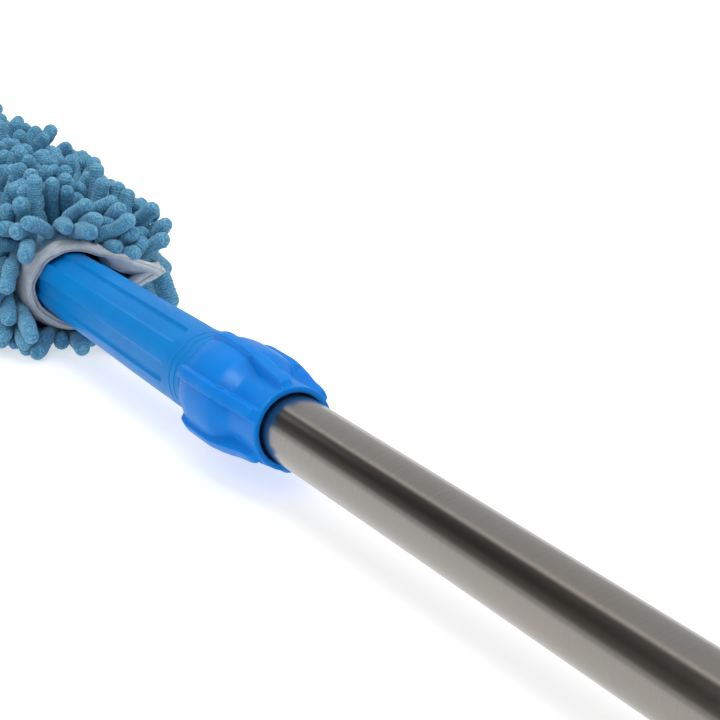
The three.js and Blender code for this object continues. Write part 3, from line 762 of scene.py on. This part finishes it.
def straighten(chain, lead, link):
    """Gives the chains' links their length again, and turns each a little towards the link before it."""
    for k in range(1, NOODLE_JOINTS):
        step = unit(chain[k] - chain[k - 1], 1e-9)
        step = unit(step * 0.8 + lead * 0.2, 1e-9)
        chain[k] = chain[k - 1] + step * link
        lead = step


def noodle_headings(rng, x, base, normal):
    """Which way each noodle leaves the bag, and its length. Beside the mouth they lean out over it."""
    count = len(base)
    tilt = np.radians(rng.uniform(6, 70, count))
    loose = rng.normal(size=(count, 3))
    beside_mouth = smooth(MOUTH_X - 44, MOUTH_X - 11, x)
    near_side = base[:, 1] < 12
    loose[:, 0] += 1.3 * beside_mouth * near_side
    under = smooth(MOUTH_X - 74, MOUTH_X - 31, x) * (base[:, 2] < 0) * near_side
    loose += under[:, None] * np.array([2.0, -1.1, 0])
    tilt = np.where(under > 0.5, np.radians(58) + 0.35 * tilt, tilt)
    over_tape = beside_mouth * (base[:, 2] > 2) * (base[:, 1] < 26) * (rng.uniform(0, 1, count) < 0.55)
    loose += over_tape[:, None] * np.array([2.2, -0.5, -0.3])
    tilt = np.where(over_tape > 0.5, np.radians(82), tilt)
    loose = unit(loose - normal * (loose * normal).sum(1, keepdims=True))
    heading = normal * np.cos(tilt)[:, None] + loose * np.sin(tilt)[:, None]
    length = rng.uniform(*NOODLE_LENGTH, count) - 2 * NOODLE_R - 7 * smooth(MOUTH_X - 89, MOUTH_X - 14, x)
    length += 7 * under - 3 * beside_mouth * smooth(12, 24, base[:, 1]) * (base[:, 2] < 8)
    return heading, length


def settled_noodles(rng):
    """The noodles' centre lines, as chains that push each other apart over 90 rounds of settling."""
    x, a = noodle_bases(rng).T
    count = len(x)
    base = sleeve_point(x, a)
    normal = sleeve_normal(x, a)
    normal *= np.sign(((base - [0, SLEEVE_Y, 0]) * [0, 1, 1] * normal).sum(1, keepdims=True) + 1e-6)
    heading, length = noodle_headings(rng, x, base, normal)
    link = (length / (NOODLE_JOINTS - 1))[:, None]
    bend = rng.normal(size=(count, 3)) * 0.5
    chain = np.empty((NOODLE_JOINTS, count, 3))
    chain[0] = base + normal * NOODLE_SEAT
    for k in range(1, NOODLE_JOINTS):
        step = heading + bend * (k - 1) * 0.35
        chain[k] = chain[k - 1] + unit(step) * link
    owner = np.tile(np.arange(count), NOODLE_JOINTS)
    for turn in range(90):
        flat = chain.reshape(-1, 3)
        if turn % 6 == 0:
            pairs = near_pairs(flat, owner, CONTACT + 2.5)
        flat = pushed_apart(flat, *pairs)
        flat[count:, 2] -= SAG
        flat[count:] = outside_bag(flat[count:].copy(), NOODLE_REST)
        chain = flat.reshape(NOODLE_JOINTS, count, 3)
        chain[0] = base + normal * NOODLE_SEAT
        straighten(chain, heading + bend * 0.2, link)
    chain[1:] = outside_bag(chain[1:].reshape(-1, 3), NOODLE_REST).reshape(-1, count, 3)
    return chain.transpose(1, 0, 2), length


def noodle_skin(rng, chain, length, ring_step, sides):
    """One noodle's rings of points from its root to its tip's single point, and their weave coordinates."""
    whole = length + NOODLE_R
    rings = max(8, int(whole / ring_step))
    along = np.concatenate((np.linspace(0, length, rings - CAP_RINGS, endpoint=False),
                            length + NOODLE_R * np.sin(np.linspace(0, math.pi / 2, CAP_RINGS))))
    spot = np.clip(along / length, 0, 1)
    centre = np.stack([smooth_line(chain[:, axis], spot) for axis in range(3)], axis=1)
    past = np.maximum(along - length, 0)
    centre += unit(chain[-1] - chain[-2]) * past[:, None]
    ahead = unit(np.gradient(centre, axis=0))
    side = unit(np.cross(ahead, rng.normal(size=3)), 1e-9)
    other = np.cross(ahead, side)
    cap = np.sqrt(np.clip(1 - (past / NOODLE_R) ** 2, 0.0, 1))
    thick = rng.uniform(0.95, 1.06)
    thick *= 1 + 0.05 * np.sin(along * rng.uniform(0.3, 0.6) + rng.uniform(0, 6))
    thick *= 0.86 + 0.14 * smooth(0, 6, along)
    ridge = 0.06 * np.where(np.arange(rings) % 2 == 0, 1, -1) + rng.uniform(-0.09, 0.09, rings)
    radius = (NOODLE_R * thick + ridge * (cap > 0.5)) * cap
    rough = radius[:, None] + rng.uniform(-0.17, 0.17, (rings, sides)) * cap[:, None]
    turn = circle(sides)
    spoke = np.cos(turn)[None, :, None] * side[:, None, :] + np.sin(turn)[None, :, None] * other[:, None, :]
    ring = centre[:, None, :] + rough[:, :, None] * spoke
    u = np.repeat(along[:-1, None], sides, 1)
    v = np.repeat(turn[None, :] * NOODLE_R, rings - 1, 0)
    return (np.concatenate((ring[:-1].reshape(-1, 3), centre[-1:])),
            np.concatenate((np.stack([u, v], -1).reshape(-1, 2), [[whole, 0]])))


def noodle_mesh(name, chains, lengths, rng, ring_step, sides):
    """Sweeps each chain as a ridged, round-ended worm."""
    points, uvs, tones, quads, fans = [], [], [], [], []
    start = 0
    column = np.arange(sides)
    for chain, length in zip(chains, lengths):
        skin, uv = noodle_skin(rng, chain, length, ring_step, sides)
        points.append(skin)
        uvs.append(uv)
        tones.append(np.full(len(skin), rng.uniform(0, 1)))
        rows = len(skin) // sides
        quads.append(grid_faces(rows, sides) + start)
        last = start + (rows - 1) * sides
        tip = np.full(sides, start + rows * sides)
        fans.append(np.stack([last + column, last + (column + 1) % sides, tip], axis=1))
        start += len(skin)
    piece = mesh_object(name, np.concatenate(points), [np.concatenate(quads), np.concatenate(fans)],
                        np.concatenate(uvs))
    tone = piece.data.attributes.new("tone", "FLOAT", "POINT")
    tone.data.foreach_set("value", np.concatenate(tones))
    return piece


def smooth_line(value, spot):
    """Catmull-Rom through evenly spaced values, at spots from 0 to 1."""
    padded = np.concatenate(([2 * value[0] - value[1]], value, [2 * value[-1] - value[-2]]))
    station = spot * (len(value) - 1)
    k = np.minimum(station.astype(int), len(value) - 2)
    u = station - k
    a, b, c, d = (padded[k + offset] for offset in range(4))
    return 0.5 * (2 * b + (c - a) * u + (2 * a - 5 * b + 4 * c - d) * u ** 2
                  + (3 * b - a - 3 * c + d) * u ** 3)


def chenille():
    rng = np.random.default_rng(11)
    chains, lengths = settled_noodles(rng)
    middle = chains[:, 0, 0]
    above = chains[:, 0, 2] > 0
    # the two bands nearest the camera have finer rings
    bands = [(-600, -430, 1.1, 10), (-430, -330, 1.1, 10), (-330, -262, 0.56, 14), (-262, -150, 0.56, 14)]
    for k, (low, high, ring_step, sides) in enumerate(bands):
        for side, mask in (("top", above), ("bottom", ~above)):
            chosen = (middle >= low) & (middle < high) & mask
            piece = noodle_mesh(f"noodles_{side}_{k}", chains[chosen], lengths[chosen], rng, ring_step, sides)
            finished(piece, "sleeve", "chenille", YARN, f"chenille_{side}")


# ---------- collar, grip and hanging cap ----------


def grip_collar():
    low, high = span("grip_collar")
    bore = radius_of("grip_collar", inner=True)
    top = radius_of("grip_collar")
    front, rear = low[0], high[0]
    outline = rounded([(front, bore, 0.2), (front, bore + 1, 0.5), (front + 4, top - 0.9, 1.5),
                       (rear - 4, top - 0.1, 0.6), (rear - 3.4, top - 0.6, 0.4), (rear - 2.8, top, 0.4),
                       (rear, top, 0.5), (rear, bore, 0.2)], 5)
    collar = turned("grip_front_collar", outline, 144)
    return finished(collar, "pole", "neck_blue", NECK_BLUE, "grip_collar")


def rear_grip():
    """A foam-rubber hand grip with shallow finger rings."""
    low, high = span("rear_grip")
    bore, top = radius_of("rear_grip", inner=True), radius_of("rear_grip")
    x = np.linspace(low[0] + 1.5, high[0] - 1.5, 260)
    pitch, depth, plain = 20, 0.55, 14
    rings = depth * np.exp(-(((x - low[0] - 16) % pitch - pitch / 2) / 1.1) ** 2)
    rings *= (x > low[0] + plain) & (x < high[0] - plain)
    body = np.stack([x, top - 0.05 - rings], axis=1)
    outline = np.concatenate(([(low[0], bore), (low[0], top - 1.2), (low[0] + 0.4, top - 0.4)], body,
                              [(high[0] - 0.4, top - 0.4), (high[0], top - 1.2), (high[0], bore)]))
    return finished(turned("foam_grip", outline, 120), "pole", "grip_rubber", RUBBER, "rear_grip")


def hang_cap():
    """The end plug, its flange, and a flat eye with rounded edges."""
    low, high = span("hang_cap")
    flange_rear = TUBE_REAR + 5.3
    flange_r = float(high[2])
    flange_front = TUBE_REAR + 0.3
    outline = rounded([(low[0], 0.01, 0), (low[0], TUBE_BORE_R - 1.2, 0.8),
                       (flange_front, TUBE_BORE_R - 0.3, 0.1), (flange_front, flange_r, 0.5),
                       (flange_rear - 1, flange_r, 1.4), (flange_rear, flange_r - 3, 0.8),
                       (flange_rear, 0.01, 0)], 5)
    plug = turned("cap_plug", outline, 128)
    finished(plug, "pole", "neck_blue", NECK_BLUE, "hang_cap")
    eye_r, hole_r, half, fillet = 13.0, 5.0, 4.5, 1.1
    centre = float(high[0]) - eye_r
    around = 96
    angle = circle(around)
    reach = np.where(np.cos(angle) < 0, np.minimum(eye_r / np.maximum(np.abs(np.sin(angle)), 0.02),
                     (centre - flange_rear + 1.5) / np.maximum(-np.cos(angle), 0.02)), eye_r)
    # one edge's rounding, as (how far in from the edge, y), from the low face to the high one
    soft = 0.3 * fillet
    edge = [(fillet, -half), (soft, -half + soft), (0, -half + fillet), (0, half - fillet),
            (soft, half - soft), (fillet, half)]
    rows = [(reach - inset, y) for inset, y in edge]
    rows += [(np.full(around, hole_r + inset), y) for inset, y in reversed(edge)]
    points = np.concatenate([np.stack([centre + r * np.cos(angle), np.full(around, y), r * np.sin(angle)],
                                      axis=1) for r, y in rows])
    eye = mesh_object("cap_eye", points, [grid_faces(len(rows), around, closed_rows=True)])
    return finished(eye, "pole", "neck_blue", NECK_BLUE, "hang_cap")


# ---------- inner parts, which show when the sleeve is off ----------


def foam_pads():
    """Soft pads above and below the paddle, crowned and rounded at their ends."""
    for name, side in (("foam_pad_top", 1), ("foam_pad_bottom", -1)):
        low, high = span(name)
        half_width = float(high[1] - low[1]) / 2
        height = float(high[2] - low[2])
        face = float(low[2] if side > 0 else high[2])
        a = circle(72)
        end_length = 6
        end_stations = end_length * (1 - np.cos(np.linspace(0.05, math.pi / 2, 7)))
        rows = []
        for x in np.concatenate((low[0] + end_stations, np.linspace(low[0] + 9, high[0] - 9, 50),
                                 high[0] - end_stations[::-1])):
            end = math.sqrt(max(0.0, 1 - max(0, 1 - min(x - low[0], high[0] - x) / end_length) ** 2))
            wide = half_width - 2.5 * (1 - end)
            tall = height * (0.45 + 0.5 * end)
            y = wide * power(np.cos(a), 0.6)
            up = np.where(np.sin(a) > 0, tall * power(np.sin(a), 0.85), 0.25 * power(np.sin(a), 0.3))
            rows.append(np.stack([np.full(len(a), x), y, face + side * (up + 0.3)], axis=1))
        rows = np.concatenate(([rows[0] * 0 + rows[0].mean(0)], rows, [rows[-1] * 0 + rows[-1].mean(0)]))
        faces = grid_faces(len(rows), len(a))
        pad = mesh_object(name.replace("foam_pad", "soft_pad"), rows.reshape(-1, 3),
                          [faces if side > 0 else faces[:, ::-1]])
        finished(pad, "head", "foam", FOAM, name)


def carried_over():
    """CAD nodes whose own shape is fine enough, given their materials."""
    looks = ((WHITE, ("core_hub", "core_blade", "clamp_ring", "nose_plug")),
             (ZINC, ("core_strip", "hub_screw_1", "hub_screw_2", "blade_rivet_1", "blade_rivet_2")))
    for material, names in looks:
        for name in names:
            node = frame["nodes"][name]
            node.data.materials.clear()
            node.data.materials.append(material)


# ---------- stage ----------


def rectangle(name, ends, first, second, surface):
    """A flat rectangle between two edges that run along x, each at its own (y, z)."""
    mesh = bpy.data.meshes.new(name)
    low, high = ends
    mesh.from_pydata([(low, *first), (high, *first), (high, *second), (low, *second)], [], [(0, 1, 2, 3)])
    mesh.materials.append(surface.material)
    return linked(name, mesh)


def card(name, ends, first, second, colour, strength):
    """A studio card that only reflections see."""
    surface = Surface(name, Base_Color=(0, 0, 0, 1), Roughness=1.0, Emission_Color=(*colour, 1),
                      Emission_Strength=strength)
    made = rectangle(name, ends, first, second, surface)
    for ray in ("camera", "diffuse", "shadow", "transmission"):
        setattr(made, f"visible_{ray}", False)


def stage():
    """The floor, and the cards that the pole and the plastic reflect, in metres."""
    floor_look = Surface("floor", Base_Color=(0.66, 0.66, 0.66, 1), Roughness=0.9, Specular_IOR_Level=0.1,
                         Emission_Color=(1, 1, 1, 1), Emission_Strength=0.55)
    side = 20.0
    floor = rectangle("floor", (-side, side), (-side, 0), (side, 0), floor_look)
    floor.visible_glossy = False
    card("floor_glow", (-side, side), (-side, -0.02), (side, -0.02), (1, 1, 1), 0.95)
    ends = (-5.0, 5.0)
    wall_y = -1.3
    dim = (1.0, 0.97, 0.9)
    card("dark_low", ends, (wall_y, 0.34), (wall_y, 0.60), dim, 0.17)
    card("dark_middle", ends, (wall_y, 0.60), (wall_y, 1.05), dim, 0.10)
    card("dark_high", ends, (wall_y, 1.05), (wall_y, 2.4), dim, 0.02)
    card("dark_ceiling", ends, (wall_y, 2.4), (-0.40, 2.1), dim, 0.05)
    card("top_strip", ends, (-0.30, 2.0), (-0.02, 2.0), (1.0, 0.95, 0.88), 1.05)
    card("softbox", (-0.55, 0.2), (-1.15, 1.3), (-0.75, 1.75), (1, 1, 1), 19.0)


def area_light(name, where, aim, size, power):
    data = bpy.data.lights.new(name, "AREA")
    data.shape = "RECTANGLE"
    data.size, data.size_y = size
    data.energy = power
    light = linked(name, data)
    light.location = where
    light.rotation_euler = (Vector(aim) - Vector(where)).to_track_quat("-Z", "Y").to_euler()
    light.visible_glossy = False


def lights():
    world = bpy.data.worlds.new("studio")
    world.use_nodes = True
    background = world.node_tree.nodes["Background"]
    background.inputs["Color"].default_value = (0.97, 0.98, 1.0, 1)
    background.inputs["Strength"].default_value = 0.6
    bpy.context.scene.world = world
    area_light("overhead", (-0.2, 0.5, 2.2), (-0.1, 0, 0), (3.2, 2.2), 44)
    area_light("camera_side", (0.9, -1.6, 1.5), (-0.1, 0, 0), (1.6, 1.6), 12)
    bpy.context.scene.view_settings.view_transform = "Standard"


CAMERA_PLACE = Vector((523.5, -278.6, 225.8)) * MM
CAMERA_AIM = Vector((-1.4, 25.25, 21.45)) * MM
CAMERA_LENS = 92.5


def camera():
    data = bpy.data.cameras.new("camera")
    data.lens = CAMERA_LENS
    data.sensor_width = 36
    data.clip_start = 0.01
    made = linked("camera", data)
    back = (CAMERA_PLACE - CAMERA_AIM).normalized()
    right = Vector((0, 0, 1)).cross(back).normalized()
    turn = Matrix((right, back.cross(right), back)).transposed()
    made.matrix_world = POLE @ Matrix.Translation(CAMERA_PLACE) @ turn.to_4x4()
    bpy.context.scene.camera = made


camera()
stage()
lights()
steel_tube()
clamp_nut()
neck_tube()
foam_pads()
bag = sleeve_backing()
mouth_binding()
mouth_stitches()
mouth_elastic()
chenille()
grip_collar()
rear_grip()
hang_cap()
carried_over()
